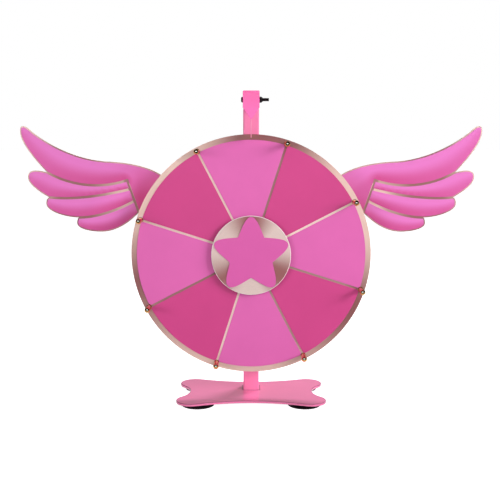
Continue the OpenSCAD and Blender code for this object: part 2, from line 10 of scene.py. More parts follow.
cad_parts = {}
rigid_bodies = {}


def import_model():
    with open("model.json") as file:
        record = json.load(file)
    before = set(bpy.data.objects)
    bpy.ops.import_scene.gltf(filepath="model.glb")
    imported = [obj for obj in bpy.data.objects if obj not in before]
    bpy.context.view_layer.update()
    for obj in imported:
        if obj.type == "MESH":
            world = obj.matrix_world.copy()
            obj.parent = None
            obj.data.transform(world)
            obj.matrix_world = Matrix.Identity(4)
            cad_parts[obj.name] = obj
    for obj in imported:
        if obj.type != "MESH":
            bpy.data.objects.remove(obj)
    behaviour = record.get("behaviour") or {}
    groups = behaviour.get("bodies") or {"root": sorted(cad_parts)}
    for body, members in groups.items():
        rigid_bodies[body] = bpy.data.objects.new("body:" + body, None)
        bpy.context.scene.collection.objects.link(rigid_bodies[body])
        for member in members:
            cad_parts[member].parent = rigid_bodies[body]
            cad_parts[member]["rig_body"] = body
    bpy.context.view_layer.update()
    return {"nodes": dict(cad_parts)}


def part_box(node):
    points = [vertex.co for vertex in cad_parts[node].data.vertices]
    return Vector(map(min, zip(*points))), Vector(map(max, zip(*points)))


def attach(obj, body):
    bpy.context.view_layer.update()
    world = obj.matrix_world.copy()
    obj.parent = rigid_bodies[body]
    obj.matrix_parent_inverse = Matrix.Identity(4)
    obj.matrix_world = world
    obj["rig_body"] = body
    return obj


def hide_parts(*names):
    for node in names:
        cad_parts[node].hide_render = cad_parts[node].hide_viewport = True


bl_info = {
    "name": "Winged prize wheel",
    "version": (1, 0, 0),
    "blender": (4, 5, 0),
    "location": "View3D > Sidebar > Prize Wheel",
    "description": "Dresses a tabletop prize wheel with wings on the solids of its frame",
    "category": "Add Mesh",
}

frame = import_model()

MM = 0.001

# Meshes: points closer than the weld are joined, and the angles part flat, smooth and sharp

WELD = 0.002 * MM
FLAT_ANGLE = math.radians(0.5)
SHARP_ANGLE = math.radians(35)
PANEL_ANGLE = math.radians(60)
CHAMFER_SLOPE = math.tan(math.radians(30))

# Places taken from the frame

BOARD_LOW, BOARD_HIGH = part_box("wheel_disc")
AXLE = Vector((0, 0, (BOARD_LOW.z + BOARD_HIGH.z) / 2))
BOARD_FACE = BOARD_LOW.y
BOARD_BACK = BOARD_HIGH.y
PEG_NODES = [f"peg_{number}" for number in range(1, 9)]
PEG_LOW, PEG_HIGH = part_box("peg_1")
PEG_X = (PEG_LOW.x + PEG_HIGH.x) / 2
PEG_Z = (PEG_LOW.z + PEG_HIGH.z) / 2 - AXLE.z
PEG_CIRCLE = math.hypot(PEG_X, PEG_Z)
POST_LOW, POST_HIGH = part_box("post_tube")
WING_LOW, WING_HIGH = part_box("right_wing")
CUP_NODES = [f"suction_cup_{end}_{side}" for end in ("front", "rear") for side in ("left", "right")]

# Screws: thread, hexagon key and height of the head. Radius of the axle bolt and of a peg's stud

M5, M5_KEY, M5_HEAD = 5 * MM, 3 * MM, 2.8 * MM
M6, M6_KEY = 6 * MM, 4 * MM
AXLE_SHANK = 5 * MM
PEG_THREAD = 2 * MM

# Finish of the wings: reaches from the middle and heights, in metres

FEATHER_ROOT = 0.2
FEATHER_TIP = WING_HIGH.x
# Spacing of the painted reflection sweeps along the wing
WING_WAVE = 0.165
NECK_HEIGHT = (0.311, 0.356)
NECK_REACH = (0.183, 0.2)
NECK_DEEP = (0.305, 0.372)
# Heights of the band of painted highlights where the lines between the feathers start
LINE_BAND_LOW = (0.304, 0.308)
LINE_BAND_HIGH = (0.352, 0.355)

# Painted light on the left wing's print beside the wheel, where the wheel's shadow falls: middle,
# radius and height in metres, most gain

LIFT_MIDDLE = (-0.06, 0.17)
LIFT_RADIUS = (0.21, 0.25)
LIFT_HEIGHT = (0.27, 0.33)
LIFT_GAIN = 0.23

# Tone of the base plate, painted light: where it changes from left to right and from front to rear,
# and the darker ring round the post's foot

BASE_LEFT = (-30 * MM, 30 * MM)
BASE_REAR = (-45 * MM, 35 * MM)
FRONT_PAINTED_TONES = (0.92, 0.98)
REAR_PAINTED_TONES = (1.02, 1.09)
FOOT_RING = (POST_HIGH.x + 1.5 * MM, POST_HIGH.x + 3.5 * MM)

# Painted reflection sweeps over the spun metal: degrees clockwise from the top, degrees to each
# side, strength

BOARD_REFLECTION_SWEEPS = ((66, 48, 1.0), (190, 68, 0.85), (308, 52, 0.95))
SPOKE_REFLECTION_SWEEPS = ((63, 40, 1.0), (130, 60, 0.3), (198, 40, 1.0), (311, 56, 0.88), (0, 720, 0.13))
HUB_REFLECTION_SWEEPS = ((62, 54, 1.05), (181, 50, 1.0), (292, 62, 0.95))
SWEEP_FADE = (0.25, 1.05)
RIM = (0.85 * PEG_CIRCLE, 0.95 * PEG_CIRCLE)
RING_LINES = 2400.0
RING_BREAKS = 5.0

# Parts of a noise that count, from 0 to 1

CLOUD = (0.3, 0.7)
PLATE_CLOUD = (0.35, 0.65)
GRAIN = (0.25, 0.75)

# Camera, lamps and floor, in metres

CAMERA_PLACE = (-0.00173, -1.36798, 0.41634)
CAMERA_TILT = math.radians(82.825)
SENSOR_WIDTH = 36
AIM = Vector((0, 0, 0.28))
LAMP_DISTANCE = 3.2
SHEEN = "sheen_softbox"
GLINT = "glint_softbox"
GLINT_COLOUR = (0.22, 0.38, 1.0)
ROOM_COLOUR = (1, 0.75, 0.87)
FLOOR_HALF = 40.0
FLOOR_LEVEL = -0.2 * MM

# Lamps: place, aim, width and height

LAMPS = {
    "key": (AIM + LAMP_DISTANCE * Vector((1.0, -0.62, 0.38)).normalized(), AIM, (1.9, 1.2)),
    "left": (AIM + LAMP_DISTANCE * Vector((-1.2, -1, 0.2)).normalized(), AIM, (1.2, 0.8)),
    "fill": (Vector((-0.1, -3, 0.55)), AIM, (0.8, 0.8)),
    "sheen": (Vector((-0.3, -2.2, 1.15)), AIM, (2.6, 0.6)),
    "glint": (Vector((-0.1, -2.2, 1.0)), AIM, (3.0, 0.5)),
    "side": (Vector((0.42, 0.6, 1.45)), Vector((0, 0, 0.05)), (0.36, 0.36)),
}


def tint(code):
    """Scene-linear colour of a #rrggbb tint."""
    channels = [int(code[start:start + 2], 16) / 255 for start in (1, 3, 5)]
    return tuple(Color(channels).from_srgb_to_scene_linear())


def opaque(colour):
    """A colour with its alpha, as a shader socket takes it."""
    return (*colour, 1.0)


def darker(colour, share):
    """A colour with this share of its light."""
    return tuple(channel * share for channel in colour)


# Settings


def colour_property(name, description, code):
    """A colour that a user may change, its default as #rrggbb."""
    return bpy.props.FloatVectorProperty(
        name=name, description=description, subtype="COLOR", size=3, min=0, max=1,
        default=tint(code))


def length_property(name, description, low, high, default):
    """A length that a user may change, its limits and default in millimetres."""
    return bpy.props.FloatProperty(
        name=name, description=description, subtype="DISTANCE", unit="LENGTH",
        min=low * MM, max=high * MM, default=default * MM)


def power_property(name, lamp, default):
    """The power of a lamp in watts."""
    return bpy.props.FloatProperty(
        name=name, description=f"Power of the {lamp}", subtype="POWER", unit="POWER",
        min=0, max=500, default=default)


class PrizeWheelColours(bpy.types.PropertyGroup):
    """Colours of the wheel's finishes"""

    paint: colour_property("Stand paint", "Powder coat of the post, arm and bracket", "#ff8bbc")
    # The base paint is a darker copy of the stand paint: painted shade on the base plate
    base_shaded_paint: colour_property("Base paint", "Powder coat of the base plate", "#f580b1")
    # The pointer's tip colour is lighter: a painted highlight towards its tip
    pointer_top: colour_property("Pointer top", "Coat of the pointer plate at its top", "#ff69ac")
    pointer_tip_highlight: colour_property("Pointer tip", "Coat of the pointer plate at its tip", "#ff74c0")
    light_panel: colour_property("Light panel", "Colour of the light sector panels", "#e16ab4")
    star: colour_property("Star", "Colour of the star on the hub", "#db60ac")
    dark_panel: colour_property("Dark panel", "Colour of the dark sector panels", "#d1468a")
    feather_light: colour_property("Feather light", "Upper side of each feather", "#e67cc7")
    feather_deep: colour_property("Feather deep", "Lower side of each feather", "#cd4587")
    # Champagne, spoke and hub colours are the light and dark tones of painted reflection sweeps
    metal_reflection_light: colour_property("Champagne light", "Light sweeps of the bare metal", "#f5d5c6")
    metal_reflection_dark: colour_property("Champagne dark", "Dark sweeps of the bare metal", "#986261")
    spoke_reflection_light: colour_property("Spoke light", "Light sweeps between the panels", "#fee6d9")
    hub_reflection_light: colour_property("Hub light", "Light sweeps of the hub plate", "#ecd7ce")
    hub_reflection_dark: colour_property("Hub dark", "Dark sweeps of the hub plate", "#a46b69")
    gold: colour_property("Gold", "Plating of the pegs", "#f6c27a")
    zinc: colour_property("Zinc", "Plating of the nuts and the axle parts", "#b9babd")
    black: colour_property("Black", "Rubber, moulded parts and blackened screws", "#191719")
    clear: colour_property("Flapper", "Milky plastic of the flapper", "#fba0c4")


class PrizeWheelSizes(bpy.types.PropertyGroup):
    """Sizes of the details that the frame leaves plain"""

    sheet_edge: length_property("Sheet edge", "Rounding of the painted edges", 0.1, 1.5, 0.7)
    board_edge: length_property("Board edge", "Rounding of the boards' edges", 0.1, 1.2, 0.5)
    panel_edge: length_property("Panel edge", "Rounding of the panels' edges", 0.05, 0.3, 0.16)
    peg_neck: length_property("Peg neck", "Radius of a peg's neck under its ball", 2, 3.4, 2.8)
    peg_foot: length_property("Peg foot", "Thickness of a peg's foot on the board", 0.5, 3, 1.2)
    clamp_edge: length_property("Clamp edge", "Rounding of the flapper and clamp", 0.1, 0.5, 0.3)
    feather_grid: length_property(
        "Feather grid", "Spacing of the points that carry the feathers' shading", 2, 10, 3.5)


class PrizeWheelStage(bpy.types.PropertyGroup):
    """Camera and light"""

    lens: bpy.props.FloatProperty(
        name="Lens", description="Focal length on a 36 mm sensor", min=20, max=200, default=61.2)
    key_power: power_property("Key power", "soft light at the right front", 90)
    left_power: power_property("Left power", "soft light at the left front", 30)
    fill_power: power_property("Fill power", "soft light behind the camera", 8)
    sheen_power: power_property("Sheen power", "light that only reflections see", 15)
    glint_power: power_property("Glint power", "light that glints on the polished pegs", 72)
    side_power: power_property("Side power", "soft light at the right, behind the wheel", 16.5)
    ambient: bpy.props.FloatProperty(
        name="Ambient", description="Light of the room on the object", min=0, max=2, default=0.24)


# Nodes


def add_node(tree, kind, inputs=None, **settings):
    """A node of a tree with its settings, values and links."""
    made = tree.nodes.new(kind)
    for setting, value in settings.items():
        setattr(made, setting, value)
    for key, value in (inputs or {}).items():
        if isinstance(value, bpy.types.NodeSocket):
            tree.links.new(value, made.inputs[key])
        else:
            made.inputs[key].default_value = value
    return made


def output(tree, kind, inputs=None, **settings):
    """First output of a new node."""
    return add_node(tree, kind, inputs, **settings).outputs[0]


# Finishes


class Finish:
    """A material in the making: one Principled shader and the nodes that feed it."""

    def __init__(self, name, colour, **constants):
        self.base = colour
        self.material = bpy.data.materials.new(name)
        self.material.use_nodes = True
        self.material.diffuse_color = opaque(colour)
        self.tree = self.material.node_tree
        self.shader = self.tree.nodes["Principled BSDF"]
        self.shader.inputs["Base Color"].default_value = opaque(colour)
        for label, value in constants.items():
            self.shader.inputs[label.replace("_", " ")].default_value = value
        self.place = add_node(self.tree, "ShaderNodeTexCoord").outputs["Object"]

    def axes(self):
        """The three coordinates of a point."""
        return add_node(self.tree, "ShaderNodeSeparateXYZ", {"Vector": self.place}).outputs

    def join(self, x, y, z):
        return output(self.tree, "ShaderNodeCombineXYZ", {"X": x, "Y": y, "Z": z})

    def math(self, operation, first, second=0.0):
        return output(self.tree, "ShaderNodeMath", {0: first, 1: second}, operation=operation)

    def product(self, total, *factors):
        for factor in factors:
            total = self.math("MULTIPLY", total, factor)
        return total

    def noise(self, scale, detail=2.0, roughness=0.5, vector=None):
        """Noise of so many waves to a metre. Three numbers stretch it along the axes."""
        vector = self.place if vector is None else vector
        if isinstance(scale, tuple):
            vector = output(self.tree, "ShaderNodeMapping", {"Vector": vector, "Scale": scale})
            scale = 1.0
        inputs = {"Vector": vector, "Scale": scale, "Detail": detail, "Roughness": roughness}
        return output(self.tree, "ShaderNodeTexNoise", inputs)

    def between(self, value, low, high, start=0.0, end=1.0, eased=False):
        """Maps a value that runs from start to end onto low to high."""
        inputs = {"Value": value, "From Min": start, "From Max": end, "To Min": low, "To Max": high}
        curve = "SMOOTHSTEP" if eased else "LINEAR"
        return output(self.tree, "ShaderNodeMapRange", inputs, interpolation_type=curve)

    def blend(self, factor, first, second, mode="MIX"):
        inputs = {0: factor}
        for key, value in ((6, first), (7, second)):
            inputs[key] = value if isinstance(value, bpy.types.NodeSocket) else opaque(value)
        mix = add_node(self.tree, "ShaderNodeMix", inputs, data_type="RGBA", blend_type=mode)
        return mix.outputs[2]

    def toned(self, colour, tone):
        """A colour times a grey tone."""
        return self.blend(1.0, colour, self.join(tone, tone, tone), "MULTIPLY")

    def colour(self, socket):
        self.tree.links.new(socket, self.shader.inputs["Base Color"])

    def clouded(self, cloud, shares, span=(0.0, 1.0)):
        """Runs the colour between two shares of its light over a span of a noise."""
        shades = [darker(self.base, share) for share in shares]
        self.colour(self.blend(self.between(cloud, 0, 1, *span), *shades))

    def roughness(self, marks, low, high, span=(0.0, 1.0)):
        rough = self.between(marks, low, high, *span)
        self.tree.links.new(rough, self.shader.inputs["Roughness"])

    def bump(self, height, depth, strength):
        inputs = {"Height": height, "Distance": depth, "Strength": strength}
        relief = output(self.tree, "ShaderNodeBump", inputs)
        self.tree.links.new(relief, self.shader.inputs["Normal"])


def coat_detail(finish, colour):
    """Detail of a glossy powder coat: slow changes of tone and fine orange peel."""
    cloud = finish.between(finish.noise(14, 3), 0.95, 1.0, *CLOUD)
    finish.colour(finish.toned(colour, cloud))
    peel = finish.noise(900)
    finish.roughness(peel, 0.26, 0.36)
    finish.bump(peel, 0.02 * MM, 0.25)
    return finish.material


def stand_coat(name, colour):
    """Pink powder coat of the stand, under a clear skin."""
    finish = Finish(name, colour, Coat_Weight=0.3, Coat_Roughness=0.05, Specular_IOR_Level=0.4)
    return coat_detail(finish, colour)


def base_coat(colours):
    """Coat of the base plate in a darker copy of the stand paint as painted shade, with painted
    light towards the rear and the left and a darker ring round the post.
    """
    colour = colours.base_shaded_paint
    finish = Finish(
        "base_coat", colour, Coat_Weight=1.0, Coat_Roughness=0.03, Specular_IOR_Level=0.15)
    x, y, _ = finish.axes()
    depth = finish.math("SUBTRACT", y, (POST_LOW.y + POST_HIGH.y) / 2)
    reach = finish.math("MAXIMUM", finish.math("ABSOLUTE", x), finish.math("ABSOLUTE", depth))
    # Darker ring round the post's foot
    foot_ringed = finish.blend(finish.between(reach, 1, 0, *FOOT_RING), colour, darker(colour, 0.5))
    # Painted light: lighter towards the rear and the left
    left = finish.between(x, 1, 0, *BASE_LEFT)
    rear = finish.between(y, 0, 1, *BASE_REAR)
    tones = [finish.between(left, *span) for span in (FRONT_PAINTED_TONES, REAR_PAINTED_TONES)]
    return coat_detail(finish, finish.toned(foot_ringed, finish.between(rear, *tones)))


def pointer_coat(colours):
    """Coat of the pointer plate, lighter and cooler towards its tip as a painted highlight."""
    finish = Finish("pointer_coat", colours.pointer_top, Coat_Weight=0.2, Coat_Roughness=0.1)
    low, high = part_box("pointer_plate")
    rise = finish.between(finish.axes()[2], 0, 1, low.z, high.z)
    return coat_detail(finish, finish.blend(rise, colours.pointer_tip_highlight, colours.pointer_top))


def painted_reflection_on_metal(finish, tone, grain, dark, light):
    """Painted reflection: light and dark sweeps over bare champagne metal, with the fine grain of
    its brushing.
    """
    lines = finish.between(grain, 0.9, 1.06, *GRAIN)
    finish.colour(finish.toned(finish.blend(tone, dark, light), lines))
    finish.roughness(grain, 0.42, 0.3, GRAIN)
    finish.bump(grain, 0.01 * MM, 0.3)
    return finish.material


def from_point(finish, x, z, centre):
    """Run, rise and distance from a point of the front."""
    run = finish.math("SUBTRACT", x, centre[0])
    rise = finish.math("SUBTRACT", z, centre[1])
    square = finish.math("ADD", finish.product(run, run), finish.product(rise, rise))
    return run, rise, finish.math("SQRT", square)


def painted_reflection_tone(finish, turn, sweeps):
    """Tone of painted reflection sweeps at a turn round the axle, 0 between them."""
    tone = 0.0
    for middle, reach, strength in sweeps:
        swing = finish.math("COSINE", finish.math("SUBTRACT", turn, math.radians(middle)))
        fade = [math.radians(share * reach) for share in SWEEP_FADE]
        glow = finish.between(finish.math("ARCCOSINE", swing), strength, 0, *fade, True)
        tone = finish.math("MAXIMUM", glow, tone)
    return tone


def spun_metal_painted_reflection(name, dark, light, sweeps, spokes, spoke_reflection_light):
    """Champagne metal brushed in circles, with painted reflection sweeps on its rim and other ones
    on its spokes.
    """
    finish = Finish(name, light, Metallic=0.2)
    x, y, z = finish.axes()
    run, rise, radius = from_point(finish, x, z, (AXLE.x, AXLE.z))
    turn = finish.math("ARCTAN2", run, rise)
    rim = finish.between(radius, 0, 1, *RIM)
    tone = finish.between(rim, *(painted_reflection_tone(finish, turn, each) for each in (spokes, sweeps)))
    rings = finish.join(finish.product(radius, RING_LINES), finish.product(turn, RING_BREAKS), y)
    grain = finish.noise(1.0, 3, 0.6, rings)
    return painted_reflection_on_metal(finish, tone, grain, dark, finish.blend(rim, spoke_reflection_light, light))


def past_neck(finish, reach, height):
    """Distance past the line over a wing's neck, below 0 on the wheel's side."""
    return finish.math("SUBTRACT", reach, finish.between(height, *NECK_REACH, *NECK_HEIGHT))


def brushed_champagne(colours):
    """Champagne metal of the wing boards, brushed lengthwise, with painted reflection sweeps along
    the wing.

    On the front the painted sweeps are darker by the neck line, and the lines between the feathers
    start with a painted highlight.
    """
    finish = Finish("brushed_champagne", colours.metal_reflection_light, Metallic=0.2)
    x, y, height = finish.axes()
    side = finish.math("ABSOLUTE", x)
    reach = finish.math("MAXIMUM", side, FEATHER_ROOT)
    wave = finish.product(finish.math("SUBTRACT", reach, FEATHER_ROOT), math.tau / WING_WAVE)
    peak = finish.between(reach, 0.5, 0.85, FEATHER_ROOT, FEATHER_TIP)
    tone = finish.product(finish.between(finish.math("COSINE", wave), 0, 1, -0.6, 1), peak)
    across = finish.math("ABSOLUTE", past_neck(finish, side, height))
    shaded = finish.product(finish.between(across, 0.2, 1.0, 3 * MM, 6 * MM), tone)
    above = finish.between(height, 0, 1, NECK_HEIGHT[1] + 2 * MM, NECK_HEIGHT[1] + 6 * MM)
    lined = finish.math("MAXIMUM", shaded, finish.product(tone, above))
    slope = finish.math("ADD", height, finish.product(across, 0.4))
    # Painted highlight where the lines between the feathers start
    roots = finish.product(
        finish.between(slope, 0, 1, *LINE_BAND_LOW), finish.between(slope, 1, 0, *LINE_BAND_HIGH),
        finish.between(across, 0, 1, 1.5 * MM, 3 * MM),
        finish.between(across, 1, 0, 8 * MM, 64 * MM, True))
    lined = finish.math("MAXIMUM", lined, roots)
    front = finish.math("LESS_THAN", y, (WING_LOW.y + WING_HIGH.y) / 2)
    tone = finish.math("ADD", finish.between(front, tone, lined), 0.12)
    grain = finish.noise((60, 900, 900), 3, 0.6)
    return painted_reflection_on_metal(finish, tone, grain, colours.metal_reflection_dark, colours.metal_reflection_light)


def polished_chamfer(colours):
    """Turned edge of the hub plate, painted near white as a painted highlight."""
    finish = Finish("polished_chamfer", colours.hub_reflection_light)
    turning = finish.noise((300, 4000, 300))
    finish.colour(finish.blend(turning, (0.85, 0.8, 0.77), (1.0, 0.96, 0.93)))
    finish.roughness(turning, 0.2, 0.35)
    return finish.material


def print_detail(finish):
    """Satin skin of a printed panel with the finest grain."""
    finish.roughness(finish.noise(40, 4), 0.4, 0.55)
    finish.bump(finish.noise(1600), 0.012 * MM, 0.3)
    return finish.material


def panel_print(name, colour):
    """Printed panel with faint clouds."""
    finish = Finish(name, colour, Specular_IOR_Level=0.4)
    finish.clouded(finish.noise(16, 4, 0.55), (0.95, 1.0), CLOUD)
    return print_detail(finish)


def feather_print(colours):
    """Airbrushed feathers, light along the upper side and deep along the lower one.

    They deepen towards the neck, higher on the left wing as painted shade of the wheel, and the
    left ones carry painted light beside the wheel.
    """
    finish = Finish("feather_print", colours.feather_light, Specular_IOR_Level=0.4)
    shade = add_node(finish.tree, "ShaderNodeAttribute", attribute_name="shade").outputs["Fac"]
    spray = finish.math("ADD", shade, finish.between(finish.noise(900), -0.03, 0.03))
    x, _, height = finish.axes()
    reach = finish.math("ABSOLUTE", x)
    strength = finish.between(reach, 0.88, 0.58, FEATHER_ROOT, FEATHER_TIP)
    depth = finish.product(finish.between(spray, 0, 1, 0.15, 0.95), strength)
    neck = finish.between(reach, 1.0, 0.0, 0.9 * FEATHER_ROOT, 1.15 * FEATHER_ROOT)
    # Painted shade: on the left wing the neck deepens higher, where the wheel's shadow falls
    side = finish.between(x, 0.025, 0.0, -0.1, 0.1)
    low = finish.between(finish.math("SUBTRACT", height, side), 1.0, 0.0, *NECK_DEEP)
    inner = finish.math(
        "MAXIMUM", finish.between(past_neck(finish, reach, height), 1, 0, -MM, MM),
        finish.between(height, 0, 1, NECK_HEIGHT[1] - MM, NECK_HEIGHT[1] + 2 * MM))
    depth = finish.math("MAXIMUM", depth, finish.product(neck, low, inner))
    shaded = finish.blend(depth, colours.feather_light, colours.feather_deep)
    # Painted light: the left feathers are lighter beside the wheel, where its shadow falls
    radius = from_point(finish, x, height, LIFT_MIDDLE)[2]
    painted_lift = finish.product(
        finish.between(radius, LIFT_GAIN, 0, *LIFT_RADIUS),
        finish.between(height, 0, 1, *LIFT_HEIGHT), finish.math("LESS_THAN", x, 0.0))
    finish.colour(finish.toned(shaded, finish.math("ADD", painted_lift, 1.0)))
    return print_detail(finish)


def gold_plate(colours):
    """Polished gold plating with hairline polishing marks."""
    finish = Finish("gold_plate", colours.gold, Metallic=1.0)
    finish.clouded(finish.noise(300), (0.88, 1.0), PLATE_CLOUD)
    finish.roughness(finish.noise(2200, 3), 0.04, 0.1)
    return finish.material


def zinc_plate(colours):
    """Zinc plating, cloudy, with fine turning marks."""
    finish = Finish("zinc_plate", colours.zinc, Metallic=0.9)
    finish.clouded(finish.noise(180, 3), (0.72, 1.0), PLATE_CLOUD)
    marks = finish.noise((600, 2600, 600))
    finish.roughness(marks, 0.25, 0.42)
    finish.bump(marks, 0.01 * MM, 0.3)
    return finish.material


def black_oxide(colours):
    """Blackened steel, oily and a little worn."""
    finish = Finish("black_oxide", colours.black, Metallic=0.6)
    wear = finish.noise(700, 4, 0.6)
    finish.clouded(wear, (0.7, 2.2), (0.45, 0.75))
    finish.roughness(wear, 0.28, 0.45)
    return finish.material


def cup_rubber(colours):
    """Soft black rubber, satin, with a bloom in places."""
    finish = Finish("suction_rubber", colours.black, Specular_IOR_Level=0.4)
    bloom = finish.noise(120, 4, 0.6)
    finish.clouded(bloom, (0.8, 1.7), (0.4, 0.8))
    finish.roughness(bloom, 0.35, 0.6)
    finish.bump(finish.noise(1500), 0.02 * MM, 0.3)
    return finish.material


def moulded_black(colours):
    """Moulded black plastic with a fine spark-eroded texture."""
    finish = Finish("moulded_black", colours.black, Specular_IOR_Level=0.45)
    texture = finish.noise(1300, 3)
    finish.clouded(texture, (0.8, 1.3), CLOUD)
    finish.roughness(texture, 0.42, 0.6)
    finish.bump(texture, 0.03 * MM, 0.4)
    return finish.material


def milky_plastic(colours):
    """Milky flexible plastic of the flapper, with flow marks."""
    finish = Finish(
        "milky_plastic", colours.clear, Transmission_Weight=0.3, IOR=1.3, Specular_IOR_Level=0.1)
    flow = finish.noise((200, 200, 60), 3)
    finish.clouded(flow, (0.9, 1.0))
    finish.roughness(flow, 0.45, 0.6)
    return finish.material


FINISHES = {
    "pink_paint": lambda colours: stand_coat("stand_coat", colours.paint),
    "base_shaded_paint": base_coat,
    "pointer_paint": pointer_coat,
    # Painted shade along the base plate's edges: a darker copy of the stand paint
    "painted_shade_edge": lambda colours: stand_coat("edge_coat", darker(colours.paint, 0.45)),
    "spun_board": lambda colours: spun_metal_painted_reflection(
        "spun_board", colours.metal_reflection_dark, colours.metal_reflection_light, BOARD_REFLECTION_SWEEPS, SPOKE_REFLECTION_SWEEPS,
        colours.spoke_reflection_light),
    "spun_hub": lambda colours: spun_metal_painted_reflection(
        "spun_hub", colours.hub_reflection_dark, colours.hub_reflection_light, HUB_REFLECTION_SWEEPS, HUB_REFLECTION_SWEEPS, colours.hub_reflection_light),
    "hub_chamfer": polished_chamfer,
    "brushed_board_painted_reflection": brushed_champagne,
    "star": lambda colours: panel_print("star_print", colours.star),
    "light_panel": lambda colours: panel_print("light_panel_print", colours.light_panel),
    "dark_panel": lambda colours: panel_print("dark_panel_print", colours.dark_panel),
    "feather_panel": feather_print,
    "gold_peg": gold_plate,
    "zinc_steel": zinc_plate,
    "black_steel": black_oxide,
    "cup_rubber": cup_rubber,
    "black_plastic": moulded_black,
    "flapper_plastic": milky_plastic,
}
MADE_FINISHES = {}


def finish_of(name):
    """The material of a finish, made the first time that it is asked for."""
    if name not in MADE_FINISHES:
        MADE_FINISHES[name] = FINISHES[name](bpy.context.scene.prize_wheel_colours)
    return MADE_FINISHES[name]


# Meshes


def add_object(name, data):
    """A new object in the scene."""
    made = bpy.data.objects.new(name, data)
    bpy.context.scene.collection.objects.link(made)
    return made


def merged(node):
    """The mesh of a CAD node as a bmesh, with its loose triangles joined."""
    bm = bmesh.new()
    bm.from_mesh(frame["nodes"][node].data)
    bmesh.ops.remove_doubles(bm, verts=bm.verts, dist=WELD)
    return bm


def solids(node):
    """Boxes of the separate solids of a CAD node, as (lowest corner, highest corner)."""
    bm = merged(node)
    boxes = []
    for first in bm.verts:
        if first.tag:
            continue
        first.tag = True
        island = [first]
        for vert in island:
            for edge in vert.link_edges:
                other = edge.other_vert(vert)
                if not other.tag:
                    other.tag = True
                    island.append(other)
        corners = np.array([vert.co for vert in island])
        boxes.append((Vector(corners.min(axis=0)), Vector(corners.max(axis=0))))
    bm.free()
    return boxes


def as_mesh(bm, name):
    """A finished mesh out of a bmesh, smooth except at its sharp edges."""
    mesh = bpy.data.meshes.new(name)
    bm.to_mesh(mesh)
    bm.free()
    mesh.shade_smooth()
    mesh.set_sharp_from_angle(angle=SHARP_ANGLE)
    return mesh


def add_piece(name, mesh, body, nodes):
    """Puts a finished mesh in the scene in place of CAD nodes."""
    piece = add_object(name, mesh)
    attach(piece, body)
    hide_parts(*nodes)
    return piece


def rounded(piece, width, segments, limit):
    """Rounds the edges of a piece."""
    bevel = piece.modifiers.new("Rounded edges", "BEVEL")
    bevel.width = width
    bevel.segments = segments
    bevel.limit_method = limit
    return bevel


def softened(node, name, slot, edge, finish=None, segments=3, edge_finish=None, under=1.0):
    """A copy of a CAD node with its own finish and rounded edges, the lower ones less if asked."""
    bm = merged(node)
    bmesh.ops.dissolve_limit(bm, angle_limit=FLAT_ANGLE, verts=bm.verts, edges=bm.edges)
    low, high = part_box(node)
    share = bm.edges.layers.float.new("bevel_weight_edge")
    for corner in bm.edges:
        if corner.calc_face_angle(0) > SHARP_ANGLE:
            above = min(vert.co.z for vert in corner.verts) > (low.z + high.z) / 2
            corner[share] = 1.0 if above else under
    mesh = as_mesh(bm, name)
    mesh.materials.append(finish_of(finish or slot))
    piece = add_piece(name, mesh, frame["nodes"][node]["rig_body"], [node])
    bevel = rounded(piece, edge, segments, "WEIGHT")
    bevel.harden_normals = True
    if edge_finish:
        mesh.materials.append(finish_of(edge_finish))
        bevel.material = 1
    return piece


def lathe(name, rings, sides=48, hollow=False):
    """A mesh through rings round Z. Their radius and height are numbers or rules of the turn."""
    bm = bmesh.new()
    loops = []
    for radius, height in rings:
        loop = []
        for side in range(sides):
            turn = math.tau * side / sides
            reach = radius(turn) if callable(radius) else radius
            level = height(turn) if callable(height) else height
            loop.append(bm.verts.new((reach * math.cos(turn), reach * math.sin(turn), level)))
        loops.append(loop)
    if hollow:
        loops.append(loops[0])
    else:
        bm.faces.new(reversed(loops[0]))
        bm.faces.new(loops[-1])
    for low, high in zip(loops, loops[1:]):
        for side in range(sides):
            after = (side + 1) % sides
            bm.faces.new((low[side], low[after], high[after], high[side]))
    return as_mesh(bm, name)


def hexagon(flats):
    """Rule for the outline of a hexagon of this size across its flats."""
    sixth = math.tau / 6

    def reach(turn):
        return flats / 2 / math.cos(turn % sixth - sixth / 2)

    return reach


def flats_of(low, high):
    """Size across the flats of a hexagon that lies along Y in this box."""
    return min(high.x - low.x, high.z - low.z)


def grooves(radius, start, end, pitch=0.8 * MM):
    """Rings of a thread from one height up to another."""
    depth = 0.55 * pitch
    turns = max(1, round((end - start) / pitch))
    step = (end - start) / turns
    rings = []
    for turn in range(turns):
        rings.append((radius - depth / 2, start + turn * step))
        rings.append((radius, start + (turn + 0.4) * step))
        rings.append((radius, start + (turn + 0.6) * step))
    return rings


def button_screw(name, size, head, rise, length, socket):
    """A button-head screw with a socket for a hexagon key. Its head sits on Z 0."""
    radius = size / 2
    rim = 0.25 * rise
    flat = 0.55 * head / 2
    rings = [(radius - 0.4 * MM, -length), (radius, 0.4 * MM - length)]
    rings += grooves(radius, 0.5 * MM - length, -0.25 * length)
    rings += [(radius, -0.2 * length), (radius, 0.0), (head / 2, 0.0), (head / 2, rim)]
    for step in range(1, 7):
        angle = math.radians(15 * step)
        reach = flat + (head / 2 - flat) * math.cos(angle)
        rings.append((reach, rim + (rise - rim) * math.sin(angle)))
    key = hexagon(socket)
    rings += [(socket * 0.62, rise), (key, rise - 0.1 * MM), (key, 0.35 * rise)]
    return lathe(name, rings)


def nut_rings(flats, bore, height):
    """Rings of a hexagon nut with turned corners and a countersunk thread."""
    corner = hexagon(flats)
    turned = 0.485 * flats
    lead = 0.35 * MM
    return [
        (bore, lead), (bore + lead, 0.0), (turned, 0.0),
        (corner, lambda turn: (corner(turn) - turned) * CHAMFER_SLOPE),
        (corner, lambda turn: height - (corner(turn) - turned) * CHAMFER_SLOPE),
        (turned, height), (bore + lead, height), (bore, height - lead),
    ]


